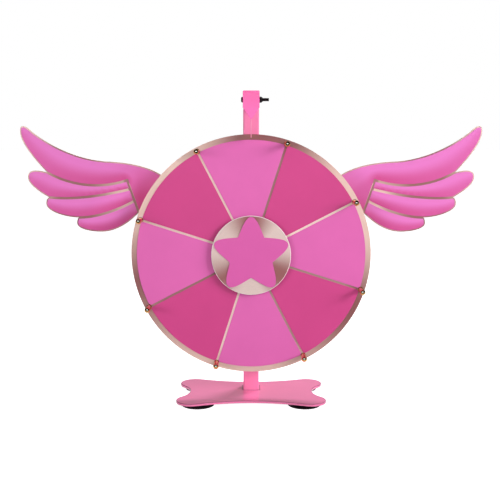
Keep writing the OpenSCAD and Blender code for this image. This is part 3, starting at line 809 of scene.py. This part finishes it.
# Geometry Nodes


def new_tree(name, *inputs):
    """An empty Geometry Nodes tree with its named inputs, first what it copies and its material."""
    tree = bpy.data.node_groups.new(name, "GeometryNodeTree")
    common = (("Geometry", "Geometry"), ("Copy", "Object"), ("Material", "Material"))
    for label, kind in common + inputs:
        tree.interface.new_socket(label, in_out="INPUT", socket_type=f"NodeSocket{kind}")
    tree.interface.new_socket("Geometry", in_out="OUTPUT", socket_type="NodeSocketGeometry")
    return tree, tree.nodes.new("NodeGroupInput").outputs


def end_tree(tree, given, points, rotation):
    """Copies an object onto points, makes the copies real and gives them their material."""
    shape = add_node(tree, "GeometryNodeObjectInfo", {"Object": given["Copy"]}).outputs["Geometry"]
    copies = output(tree, "GeometryNodeInstanceOnPoints", {
        "Points": points, "Instance": shape, "Rotation": rotation})
    real = output(tree, "GeometryNodeRealizeInstances", {"Geometry": copies})
    dressed = output(
        tree, "GeometryNodeSetMaterial", {"Geometry": real, "Material": given["Material"]})
    tree.links.new(dressed, tree.nodes.new("NodeGroupOutput").inputs["Geometry"])
    return tree


def copies_on_seats():
    """Tree: one copy on each seat, its Z along the seat's own axis."""
    tree, given = new_tree("Copies on seats")
    axis = output(
        tree, "GeometryNodeInputNamedAttribute", {"Name": "axis"}, data_type="FLOAT_VECTOR")
    facing = output(tree, "FunctionNodeAlignRotationToVector", {"Vector": axis}, axis="Z")
    return end_tree(tree, given, given["Geometry"], facing)


def copies_round_wheel():
    """Tree: copies at equal steps round the axle, all facing one way."""
    tree, given = new_tree(
        "Copies round the wheel", ("Count", "Int"), ("Circle radius", "Float"),
        ("Centre", "Vector"), ("Turn", "Vector"), ("Facing", "Rotation"))
    circle = output(tree, "GeometryNodeMeshCircle", {
        "Vertices": given["Count"], "Radius": given["Circle radius"]})
    placed = output(tree, "GeometryNodeTransform", {
        "Geometry": circle, "Translation": given["Centre"], "Rotation": given["Turn"]})
    return end_tree(tree, given, placed, given["Facing"])


def copied(name, shape, points, tree, values, body, slot, nodes):
    """The copies that a tree makes, as one plain piece. Carrier and copied shape are removed."""
    carrier = add_object(f"{name}_carrier", points)
    copy = bpy.data.objects.new(f"{name}_shape", shape)
    modifier = carrier.modifiers.new("Copies", "NODES")
    modifier.node_group = tree
    values = {"Copy": copy, "Material": finish_of(slot), **values}
    for item in tree.interface.items_tree:
        if item.in_out == "INPUT" and item.name in values:
            modifier[item.identifier] = values[item.name]
    evaluated = carrier.evaluated_get(bpy.context.evaluated_depsgraph_get())
    mesh = bpy.data.meshes.new_from_object(evaluated)
    mesh.name = name
    bpy.data.objects.remove(carrier)
    bpy.data.objects.remove(copy)
    return add_piece(name, mesh, body, nodes)


def seats_on(boxes, axis, end, offset=0.0):
    """Middles of boxes, moved along an axis to an offset from their low (0) or high (1) end."""
    seats = [(low + high) / 2 for low, high in boxes]
    for seat, box in zip(seats, boxes):
        seat[axis] = box[end][axis] + offset
    return seats


def seated(name, mesh, seats, axis, slot, nodes):
    """Copies of a mesh on seats of the stand along one axis, as one piece."""
    points = bpy.data.meshes.new(f"{name}_seats")
    points.from_pydata([tuple(seat) for seat in seats], [], [])
    facing = points.attributes.new("axis", "FLOAT_VECTOR", "POINT")
    facing.data.foreach_set("vector", np.tile(axis, len(seats)).astype(float))
    return copied(name, mesh, points, copies_on_seats(), {}, "stand", slot, nodes)


def round_wheel(name, mesh, depth, facing, slot, nodes):
    """Copies of a mesh at the pegs' places round the wheel, as one piece."""
    quarter = math.pi / 2
    values = {
        "Count": len(PEG_NODES),
        "Circle radius": PEG_CIRCLE,
        "Centre": (0.0, depth, AXLE.z),
        "Turn": (quarter, math.atan2(PEG_X, PEG_Z) - quarter, 0.0),
        "Facing": (facing * quarter, 0.0, 0.0),
    }
    points = bpy.data.meshes.new(f"{name}_carrier")
    return copied(name, mesh, points, copies_round_wheel(), values, "wheel", slot, nodes)


# Feathers


def front_outlines(node):
    """Closed outlines of the front faces of a CAD node, as arrays of (x, z)."""
    bm = merged(node)
    bm.normal_update()
    front = {face for face in bm.faces if face.normal.y < -0.9}
    after = {}
    for face in front:
        for loop in face.loops:
            if not any(other in front for other in loop.edge.link_faces if other is not face):
                after[loop.vert.index] = loop.link_loop_next.vert.index
    places = [(vert.co.x, vert.co.z) for vert in bm.verts]
    bm.free()
    outlines = []
    while after:
        at = min(after)
        outline = []
        while at in after:
            outline.append(places[at])
            at = after.pop(at)
        outlines.append(np.array(outline))
    return outlines


def inside(points, outline):
    """Which points lie inside a closed outline."""
    ends = np.roll(outline, -1, axis=0)
    within = np.zeros(len(points), bool)
    for (x0, z0), (x1, z1) in zip(outline, ends):
        crosses = (points[:, 1] < z0) != (points[:, 1] < z1)
        if z0 != z1:
            within ^= crosses & (points[:, 0] < x0 + (points[:, 1] - z0) * (x1 - x0) / (z1 - z0))
    return within


def distances(points, others):
    """Distance of each point from each of the others."""
    return np.hypot(*(points[:, None, :] - others[None, :, :]).transpose(2, 0, 1))


def edge_shading(points, outline):
    """How deep each point's colour is: 0 near edges that face up, 1 near edges that face down."""
    ends = np.roll(outline, -1, axis=0)
    run = ends - outline
    lengths = np.hypot(run[:, 0], run[:, 1])
    area = np.sum(outline[:, 0] * ends[:, 1] - ends[:, 0] * outline[:, 1])
    upward = -run[:, 0] / lengths * np.sign(area)
    away = distances(points, (outline + ends) / 2)
    pull = lengths / np.maximum(away, 0.2 * MM) ** 3
    return (pull * (0.5 + 0.5 * -upward)).sum(axis=1) / pull.sum(axis=1)


def feather_mesh(node, name, spacing):
    """Feather panels on a fine mesh, with the shading of the airbrush as an attribute."""
    low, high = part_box(node)
    bm = bmesh.new()
    shade = bm.verts.layers.float.new("shade")
    for outline in front_outlines(node):
        floor, ceiling = outline.min(axis=0), outline.max(axis=0)
        columns = np.arange(floor[0], ceiling[0], spacing)
        rows = np.arange(floor[1], ceiling[1], spacing)
        grid = np.array([(x, z) for x in columns for z in rows])
        grid = grid[inside(grid, outline)]
        grid = grid[distances(grid, outline).min(axis=1) > 0.6 * spacing]
        points = [Vector(point) for point in np.concatenate((outline, grid))]
        ring = [(at, (at + 1) % len(outline)) for at in range(len(outline))]
        flat, _, faces, *_ = delaunay_2d_cdt(points, ring, [], 1, 1e-7)
        front = []
        for (x, z), depth in zip(flat, edge_shading(np.array(flat), outline)):
            vert = bm.verts.new((x, low.y, z))
            vert[shade] = depth
            front.append(vert)
        skin = [bm.faces.new([front[at] for at in face]) for face in faces]
        wall = bmesh.ops.extrude_face_region(bm, geom=skin)["geom"]
        for vert in wall:
            if isinstance(vert, bmesh.types.BMVert):
                vert.co.y = high.y
        backs = [item for item in wall if isinstance(item, bmesh.types.BMFace)]
        bmesh.ops.dissolve_faces(bm, faces=backs)
    bmesh.ops.recalc_face_normals(bm, faces=bm.faces)
    return as_mesh(bm, name)


# Stage


def add_lamp(name, place, aim, size, power):
    """A soft light of this width and height that faces a point."""
    lamp = bpy.data.lights.new(name, "AREA")
    lamp.shape = "RECTANGLE"
    lamp.size, lamp.size_y = size
    lamp.energy = power
    holder = add_object(name, lamp)
    holder.location = place
    holder.rotation_euler = (aim - place).to_track_quat("-Z", "Y").to_euler()
    return holder


def mixed(tree, factor, first, second):
    """Output of a shader mix."""
    return output(tree, "ShaderNodeMixShader", {0: factor, 1: first, 2: second})


def depth_of(tree, coordinates):
    """Y of a point in these coordinates."""
    place = add_node(tree, "ShaderNodeTexCoord").outputs[coordinates]
    return add_node(tree, "ShaderNodeSeparateXYZ", {"Vector": place}).outputs["Y"]


def room_light(scene, ambient):
    """A white room for the camera, with a darker side behind the camera for reflections."""
    world = bpy.data.worlds.new("studio")
    world.use_nodes = True
    scene.world = world
    tree = world.node_tree
    plain = tree.nodes["Background"]
    plain.inputs["Color"].default_value = opaque(ROOM_COLOUR)
    plain.inputs["Strength"].default_value = ambient
    glow = output(tree, "ShaderNodeMapRange", {
        "Value": depth_of(tree, "Generated"), "From Min": 0.3, "From Max": 0.9,
        "To Min": 0.02, "To Max": 0.4})
    mirrored = output(tree, "ShaderNodeBackground", {"Strength": glow})
    white = output(tree, "ShaderNodeBackground", {"Color": (1, 1, 1, 1)})
    rays = add_node(tree, "ShaderNodeLightPath").outputs
    shown = mixed(tree, rays["Is Glossy Ray"], plain.outputs[0], mirrored)
    shown = mixed(tree, rays["Is Transmission Ray"], shown, white)
    shown = mixed(tree, rays["Is Camera Ray"], shown, white)
    tree.links.new(shown, tree.nodes["World Output"].inputs["Surface"])


def add_floor():
    """A wide white floor that stays white to the camera and keeps the object's shadow.

    Reflections see it white up to the object and dark in front of it.
    """
    mesh = bpy.data.meshes.new("floor")
    corners = [(-1, -1), (1, -1), (1, 1), (-1, 1)]
    mesh.from_pydata(
        [(FLOOR_HALF * x, FLOOR_HALF * y, FLOOR_LEVEL) for x, y in corners], [], [(0, 1, 2, 3)])
    material = bpy.data.materials.new("white_floor")
    material.use_nodes = True
    tree = material.node_tree
    tree.nodes.remove(tree.nodes["Principled BSDF"])
    matt = output(tree, "ShaderNodeBsdfDiffuse", {"Color": (0.55, 0.55, 0.55, 1)})
    glow = output(tree, "ShaderNodeEmission", {"Strength": 0.95})
    both = output(tree, "ShaderNodeAddShader", {0: matt, 1: glow})
    table = output(tree, "ShaderNodeMapRange", {
        "Value": depth_of(tree, "Object"), "From Min": -0.3, "From Max": -0.12})
    dark = output(tree, "ShaderNodeBsdfDiffuse", {"Color": (0.02, 0.02, 0.02, 1)})
    near = output(tree, "ShaderNodeEmission", {"Strength": 0.8})
    rays = add_node(tree, "ShaderNodeLightPath").outputs
    shown = mixed(tree, rays["Is Glossy Ray"], matt, mixed(tree, table, dark, near))
    shown = mixed(tree, rays["Is Camera Ray"], shown, both)
    tree.links.new(shown, tree.nodes["Material Output"].inputs["Surface"])
    mesh.materials.append(material)
    floor = add_object("floor", mesh)


class PRIZEWHEEL_OT_stage(bpy.types.Operator):
    """Sets the camera, the light and the white floor"""

    bl_idname = "prize_wheel.stage"
    bl_label = "Stage"

    def execute(self, context):
        settings = context.scene.prize_wheel_stage
        context.scene.view_settings.view_transform = "Standard"
        camera = bpy.data.cameras.new("photo_camera")
        camera.lens = settings.lens
        camera.sensor_width = SENSOR_WIDTH
        eye = add_object("photo_camera", camera)
        eye.location = CAMERA_PLACE
        eye.rotation_euler = (CAMERA_TILT, 0, 0)
        context.scene.camera = eye
        for name, (place, aim, size) in LAMPS.items():
            power = getattr(settings, f"{name}_power")
            lamp = add_lamp(f"{name}_softbox", place, aim, size, power)
            lamp.visible_glossy = lamp.name in (SHEEN, GLINT)
            lamp.visible_diffuse = lamp.name != SHEEN
        bpy.data.lights[GLINT].color = GLINT_COLOUR
        room_light(context.scene, settings.ambient)
        add_floor()
        return {"FINISHED"}


# Pieces


class PRIZEWHEEL_OT_stand(bpy.types.Operator):
    """Builds the painted base, post, arm, pointer and wing bracket"""

    bl_idname = "prize_wheel.stand"
    bl_label = "Stand"

    def execute(self, context):
        edge = context.scene.prize_wheel_sizes.sheet_edge
        # The base plate's rounded edges carry painted shade
        base = softened(
            "base_plate", "stand_base", "pink_paint", 1.6 * edge, "base_shaded_paint",
            edge_finish="painted_shade_edge", under=0.25)
        base.modifiers["Rounded edges"].use_clamp_overlap = False
        softened("post_tube", "stand_post", "pink_paint", 0.4 * edge)
        softened("pointer_arm", "overhead_arm", "pink_paint", 0.4 * edge)
        softened("pointer_plate", "pointer_face", "pink_paint", 0.7 * edge, "pointer_paint")
        softened("wing_crossbar", "wing_bracket", "pink_paint", 0.7 * edge)
        softened("arm_cap", "arm_end_cap", "black_plastic", 0.7 * edge)
        return {"FINISHED"}


def cup_rings(radius, height):
    """Profile of a pressed suction cup: hollow underside, round lip, concave back and neck."""
    neck, lip, shoulder = 0.375 * radius, 0.985 * radius, 0.24 * height
    rings = [(0.02 * radius, shoulder), (0.5 * radius, 0.14 * height)]
    rings += [(0.8 * radius, 0.02 * height), (0.82 * radius, 0.0), (lip, 0.0)]
    rings += [(radius, 0.05 * height), (radius, 0.18 * height), (lip, shoulder)]
    for step in range(1, 9):
        share = step / 8
        reach = neck + (lip - neck) * (1 - share) ** 1.3
        rings.append((reach, shoulder + 0.56 * height * share ** 1.6))
    return rings + [(neck, 0.9 * height), (0.98 * neck, height)]


class PRIZEWHEEL_OT_cups(bpy.types.Operator):
    """Builds the four suction cups under the base"""

    bl_idname = "prize_wheel.cups"
    bl_label = "Suction cups"

    def execute(self, context):
        boxes = [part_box(node) for node in CUP_NODES]
        low, high = boxes[0]
        mesh = lathe("cup", cup_rings((high.x - low.x) / 2, high.z - low.z), 72)
        seated("rubber_cups", mesh, seats_on(boxes, 2, 0), (0, 0, 1), "cup_rubber", CUP_NODES)
        return {"FINISHED"}


class PRIZEWHEEL_OT_board(bpy.types.Operator):
    """Builds the wheel's board, its flange and the hub"""

    bl_idname = "prize_wheel.board"
    bl_label = "Wheel board and hub"

    def execute(self, context):
        edge = context.scene.prize_wheel_sizes.board_edge
        softened("wheel_disc", "wheel_board", "champagne_board", edge, "spun_board")
        # The hub plate's chamfer carries a painted highlight
        softened(
            "hub_cover", "hub_plate", "champagne_board", 1.6 * edge, "spun_hub", 2, "hub_chamfer")
        softened("hub_spacer", "hub_ring", "black_plastic", 0.6 * edge)
        softened("hub_star", "star_badge", "light_panel", 0.5 * edge, "star")
        softened("hub_flange", "bearing_flange", "zinc_steel", 0.8 * edge)
        return {"FINISHED"}


class PRIZEWHEEL_OT_panels(bpy.types.Operator):
    """Builds the eight coloured sector panels"""

    bl_idname = "prize_wheel.panels"
    bl_label = "Sector panels"

    def execute(self, context):
        edge = context.scene.prize_wheel_sizes.panel_edge
        for number in range(1, 9):
            slot = "dark_panel" if number % 2 else "light_panel"
            softened(f"sector_{number}", f"panel_{number}", slot, edge, segments=2)
        return {"FINISHED"}


def peg_rings(length, stud, ball, neck, foot):
    """Profile of a peg along Z: threaded stud, foot, stem, neck and ball."""
    stem = 0.85 * ball
    middle = length - ball
    rings = [(PEG_THREAD - 0.4 * MM, -stud)]
    rings += grooves(PEG_THREAD, 0.4 * MM - stud, -0.5 * MM, 0.7 * MM)
    rings += [(0.97 * ball, 0.0), (0.97 * ball, 0.5 * foot), (stem, foot)]
    rings += [(stem, middle - 1.25 * ball), (0.97 * stem, middle - 1.12 * ball)]
    rings.append((neck, middle - ball))
    for angle in np.linspace(-math.acos(neck / ball), math.radians(88), 19):
        rings.append((ball * math.cos(angle), middle + ball * math.sin(angle)))
    return rings


class PRIZEWHEEL_OT_pegs(bpy.types.Operator):
    """Builds the gold pegs and the nuts on their studs"""

    bl_idname = "prize_wheel.pegs"
    bl_label = "Pegs"

    def execute(self, context):
        sizes = context.scene.prize_wheel_sizes
        length = BOARD_FACE - PEG_LOW.y
        ball = (PEG_HIGH.x - PEG_LOW.x) / 2
        stud = PEG_HIGH.y - BOARD_FACE
        mesh = lathe("peg", peg_rings(length, stud, ball, sizes.peg_neck, sizes.peg_foot), 40)
        pegs = round_wheel("gold_pegs", mesh, BOARD_FACE, 1, "gold_peg", PEG_NODES)
        for lamp, state in ((GLINT, "INCLUDE"), (SHEEN, "EXCLUDE")):
            lit = bpy.data.collections.new(f"{lamp}_pegs")
            lit.objects.link(pegs)
            lit.collection_objects[0].light_linking.link_state = state
            bpy.data.objects[lamp].light_linking.receiver_collection = lit
        low, high = max(solids("peg_nuts"), key=lambda box: box[1].x)
        rings = nut_rings(flats_of(low, high), PEG_THREAD, high.y - low.y)
        mesh = lathe("peg_nut", rings, hollow=True)
        round_wheel("peg_back_nuts", mesh, BOARD_BACK, -1, "zinc_steel", ["peg_nuts"])
        return {"FINISHED"}


class PRIZEWHEEL_OT_wings(bpy.types.Operator):
    """Builds the wing boards and their airbrushed feathers"""

    bl_idname = "prize_wheel.wings"
    bl_label = "Wings"

    def execute(self, context):
        sizes = context.scene.prize_wheel_sizes
        for side in ("left", "right"):
            softened(
                f"{side}_wing", f"{side}_wing_board", "champagne_board", sizes.board_edge,
                "brushed_board_painted_reflection")
            name = f"{side}_wing_feathers"
            mesh = feather_mesh(f"{side}_feathers", name, sizes.feather_grid)
            mesh.materials.append(finish_of("feather_panel"))
            piece = add_piece(name, mesh, "stand", [f"{side}_feathers"])
            rounded(piece, sizes.panel_edge, 2, "ANGLE").angle_limit = PANEL_ANGLE
        return {"FINISHED"}


def lock_nut_rings(flats, bore, height):
    """Rings of a lock nut: a hexagon with a round collar that holds its plastic ring."""
    rings = nut_rings(flats, bore, 0.72 * height)
    collar = 0.43 * flats
    top = [(collar, 0.74 * height), (collar, 0.93 * height), (0.93 * collar, height)]
    return rings[:-2] + top + [(bore + 0.35 * MM, height), (bore, height - 0.3 * MM)]


class PRIZEWHEEL_OT_flapper(bpy.types.Operator):
    """Builds the flapper, its clamp, its bolt and its lock nut"""

    bl_idname = "prize_wheel.flapper"
    bl_label = "Flapper"

    def execute(self, context):
        edge = context.scene.prize_wheel_sizes.clamp_edge
        softened("flapper", "flapper_blade", "flapper_plastic", edge)
        softened("flapper_holder", "flapper_clamp", "black_plastic", edge)
        low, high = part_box("flapper_bolt")
        nut_low, nut_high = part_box("flapper_nut")
        middle = ((low.y + high.y) / 2, (low.z + high.z) / 2)
        seat = -nut_low.x
        mesh = button_screw(
            "flapper_bolt_shape", M5, high.z - low.z, seat - low.x, high.x - seat, M5_KEY)
        seated(
            "flapper_cross_bolt", mesh, [(seat, *middle)], (-1, 0, 0), "black_steel",
            ["flapper_bolt"])
        rings = lock_nut_rings(nut_high.y - nut_low.y, M5 / 2, nut_high.x - nut_low.x)
        seated(
            "flapper_lock_nut", lathe("lock_nut", rings, hollow=True), [(nut_low.x, *middle)],
            (1, 0, 0), "black_steel", ["flapper_nut"])
        return {"FINISHED"}


def hex_bolt_rings(flats, shank, rise, length):
    """Profile of a hexagon bolt whose head sits on Z 0."""
    corner = hexagon(flats)
    turned = 0.47 * flats
    rings = [(shank - 0.6 * MM, -length), (shank, 0.6 * MM - length)]
    rings += grooves(shank, 0.8 * MM - length, -0.7 * length, 1.5 * MM)
    rings += [(shank, -0.65 * length), (shank, 0.0)]
    rings += [(turned, 0.0), (turned, 0.3 * MM), (corner, 0.35 * MM)]
    rings += [
        (corner, lambda turn: rise - (corner(turn) - turned) * CHAMFER_SLOPE), (turned, rise),
        (0.8 * turned, rise), (0.78 * turned, rise - 0.25 * MM)]
    return rings


class PRIZEWHEEL_OT_screws(bpy.types.Operator):
    """Builds the screws, bolts and nuts of the stand"""

    bl_idname = "prize_wheel.screws"
    bl_label = "Screws and nuts"

    def execute(self, context):
        for node, name, side in (
                ("arm_screws", "arm_back_screws", 1), ("wing_screws", "wing_tab_screws", -1),
                ("crossbar_bolts", "bracket_bolts", -1)):
            boxes = solids(node)
            low, high = boxes[0]
            mesh = button_screw(
                f"{node}_shape", M5, high.x - low.x, M5_HEAD, high.y - low.y - M5_HEAD, M5_KEY)
            seats = seats_on(boxes, 1, 1 if side > 0 else 0, -side * M5_HEAD)
            seated(name, mesh, seats, (0, side, 0), "black_steel", [node])
        boxes = solids("m5_nuts")
        low, high = boxes[0]
        rings = nut_rings(flats_of(low, high), M5 / 2, high.y - low.y)
        mesh = lathe("m5_nut", rings, hollow=True)
        seated("bracket_nuts", mesh, seats_on(boxes, 1, 0), (0, 1, 0), "zinc_steel", ["m5_nuts"])
        boxes = solids("post_bolts")
        low, high = boxes[0]
        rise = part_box("base_plate")[0].z - low.z
        mesh = button_screw(
            "foot_bolt_shape", M6, high.x - low.x, rise, high.z - low.z - rise, M6_KEY)
        seats = seats_on(boxes, 2, 0, rise)
        seated("foot_bolts", mesh, seats, (0, 0, -1), "black_steel", ["post_bolts"])
        low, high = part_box("axle_bolt")
        rings = hex_bolt_rings(
            flats_of(low, high), AXLE_SHANK, high.y - POST_HIGH.y, POST_HIGH.y - low.y)
        seated(
            "axle_hex_bolt", lathe("axle_bolt_shape", rings), [(0, POST_HIGH.y, AXLE.z)],
            (0, 1, 0), "zinc_steel", ["axle_bolt"])
        return {"FINISHED"}


class PRIZEWHEEL_OT_inner_parts(bpy.types.Operator):
    """Gives the parts inside the post and the hub their zinc finish"""

    bl_idname = "prize_wheel.inner_parts"
    bl_label = "Inner parts"

    def execute(self, context):
        zinc = finish_of("zinc_steel")
        for node in frame["nodes"].values():
            if not node.hide_render:
                for material_slot in node.material_slots:
                    material_slot.material = zinc
        return {"FINISHED"}


OPERATORS = (
    PRIZEWHEEL_OT_stage, PRIZEWHEEL_OT_stand, PRIZEWHEEL_OT_cups, PRIZEWHEEL_OT_board,
    PRIZEWHEEL_OT_panels, PRIZEWHEEL_OT_pegs, PRIZEWHEEL_OT_wings, PRIZEWHEEL_OT_flapper,
    PRIZEWHEEL_OT_screws, PRIZEWHEEL_OT_inner_parts,
)
SETTINGS = {
    "prize_wheel_colours": PrizeWheelColours,
    "prize_wheel_sizes": PrizeWheelSizes,
    "prize_wheel_stage": PrizeWheelStage,
}


class PRIZEWHEEL_PT_panel(bpy.types.Panel):
    """Lists the pieces of the prize wheel and its settings"""

    bl_idname = "PRIZEWHEEL_PT_panel"
    bl_label = "Prize Wheel"
    bl_space_type = "VIEW_3D"
    bl_region_type = "UI"
    bl_category = "Prize Wheel"

    def draw(self, context):
        for operator in OPERATORS:
            self.layout.operator(operator.bl_idname)
        for group in SETTINGS:
            box = self.layout.box()
            settings = getattr(context.scene, group)
            for name in settings.bl_rna.properties.keys():
                if name not in ("rna_type", "name"):
                    box.prop(settings, name)


def register():
    for name, group in SETTINGS.items():
        bpy.utils.register_class(group)
        setattr(bpy.types.Scene, name, bpy.props.PointerProperty(type=group))
    for operator in OPERATORS:
        bpy.utils.register_class(operator)
    bpy.utils.register_class(PRIZEWHEEL_PT_panel)


def unregister():
    bpy.utils.unregister_class(PRIZEWHEEL_PT_panel)
    for operator in reversed(OPERATORS):
        bpy.utils.unregister_class(operator)
    for name, group in SETTINGS.items():
        delattr(bpy.types.Scene, name)
        bpy.utils.unregister_class(group)


def main():
    """Builds the whole scene."""
    register()
    bpy.ops.prize_wheel.stage()
    bpy.ops.prize_wheel.stand()
    bpy.ops.prize_wheel.cups()
    bpy.ops.prize_wheel.board()
    bpy.ops.prize_wheel.panels()
    bpy.ops.prize_wheel.pegs()
    bpy.ops.prize_wheel.wings()
    bpy.ops.prize_wheel.flapper()
    bpy.ops.prize_wheel.screws()
    bpy.ops.prize_wheel.inner_parts()


if __name__ == "__main__":
    main()
